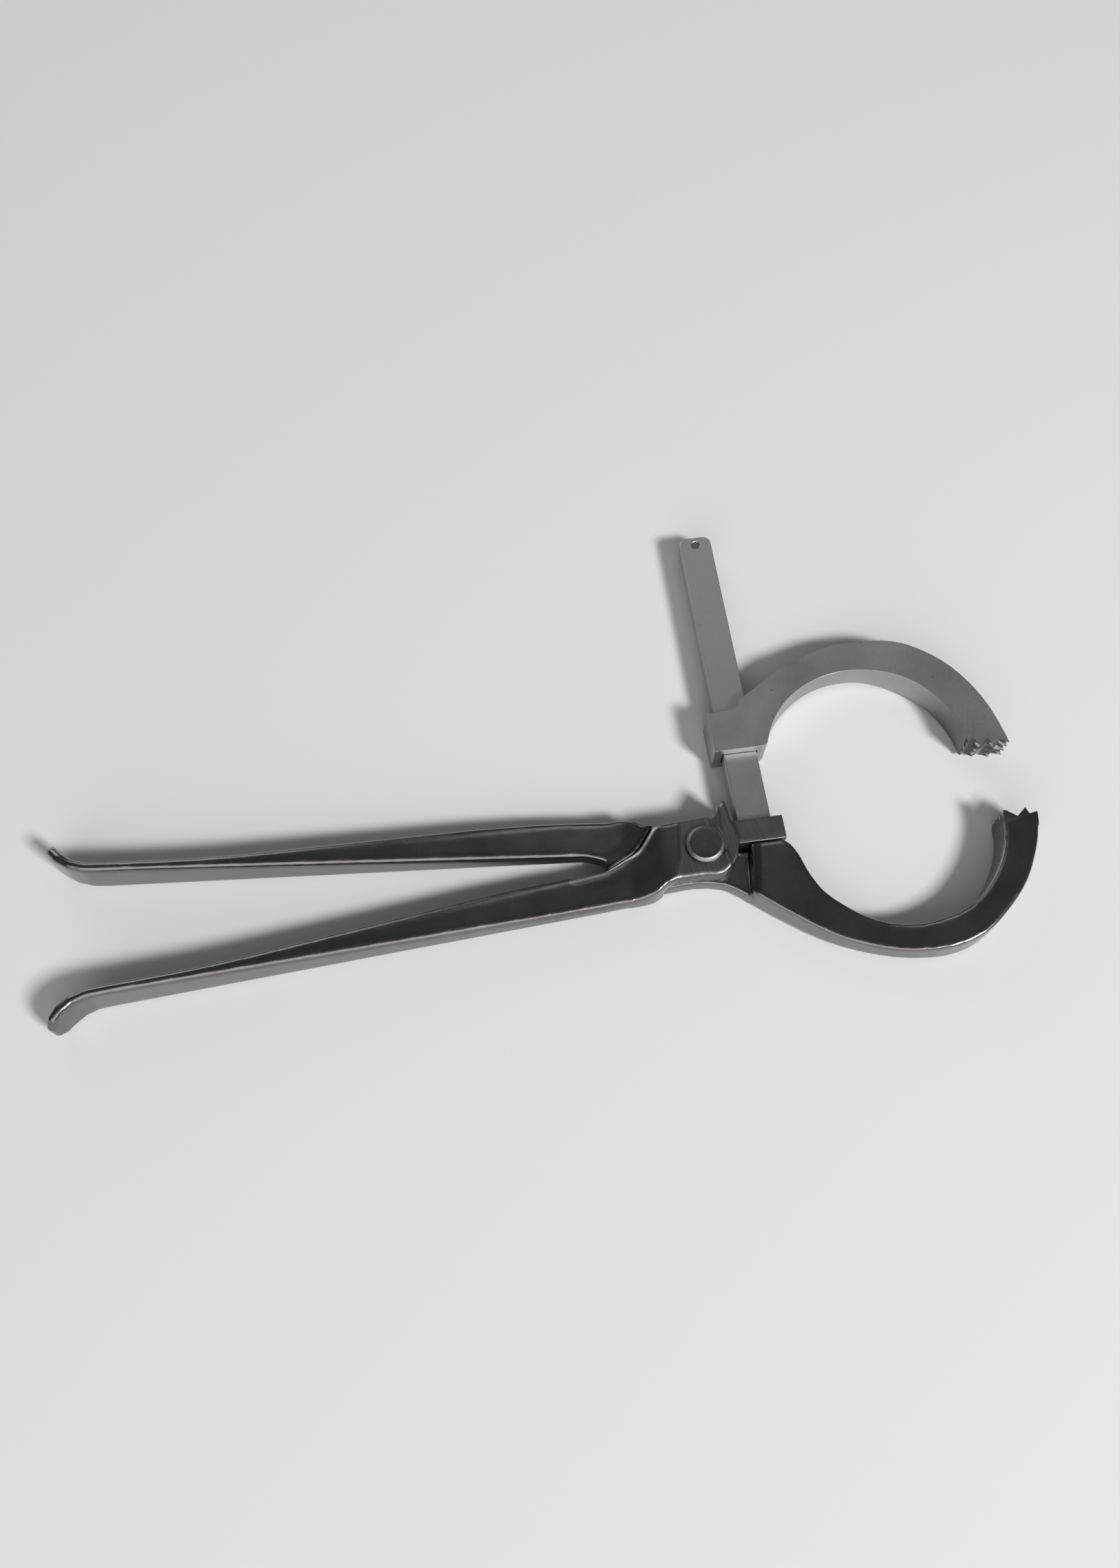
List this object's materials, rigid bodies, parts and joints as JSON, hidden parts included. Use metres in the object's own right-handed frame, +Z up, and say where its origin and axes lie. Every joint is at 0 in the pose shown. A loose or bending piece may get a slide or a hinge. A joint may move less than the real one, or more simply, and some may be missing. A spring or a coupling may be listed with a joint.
{
  "type": "hoof tester",
  "caption": "Hand tool with two riveted levers, a toothed fixed jaw and a toothed jaw that slides on a flat bar, shown closed and lying flat",
  "frame": {"origin": "On the axis of the pivot rivet, at the height of the table that the closed tool lies on", "axes": "+X from the handles towards the jaws, +Z up along the rivet's axis, +Y across the tool, towards the free end of the bar"},
  "size_m": [0.3702, 0.2158, 0.0186],
  "materials": {
    "forged_steel": "bare forged steel, dark and smooth with bright worn edges",
    "ground_steel": "satin ground steel with fine brush marks and small pits",
    "rivet_steel": "hammered and dressed rivet head with a rough bright bevel"
  },
  "bodies": {
    "jaw_lever": {"jaw_lever": "forged_steel", "pivot_rivet": "rivet_steel"},
    "bar_lever": {"bar_lever": "forged_steel", "slide_bar": "ground_steel", "bar_end_stop": "ground_steel", "stop_pin": "rivet_steel"},
    "sliding_jaw": {"sliding_jaw": "ground_steel"}
  },
  "joints": [
    {"name": "lever_pivot", "type": "hinge", "parent": "jaw_lever", "child": "bar_lever", "pos_m": [0, 0, 0.0078], "axis": [0, 0, 1], "range_deg": [0, 40]},
    {"name": "jaw_slide", "type": "slide", "parent": "bar_lever", "child": "sliding_jaw", "axis": [-0.1685, 0.9857, 0], "range_m": [-0.0199, 0.0711]}
  ]
}
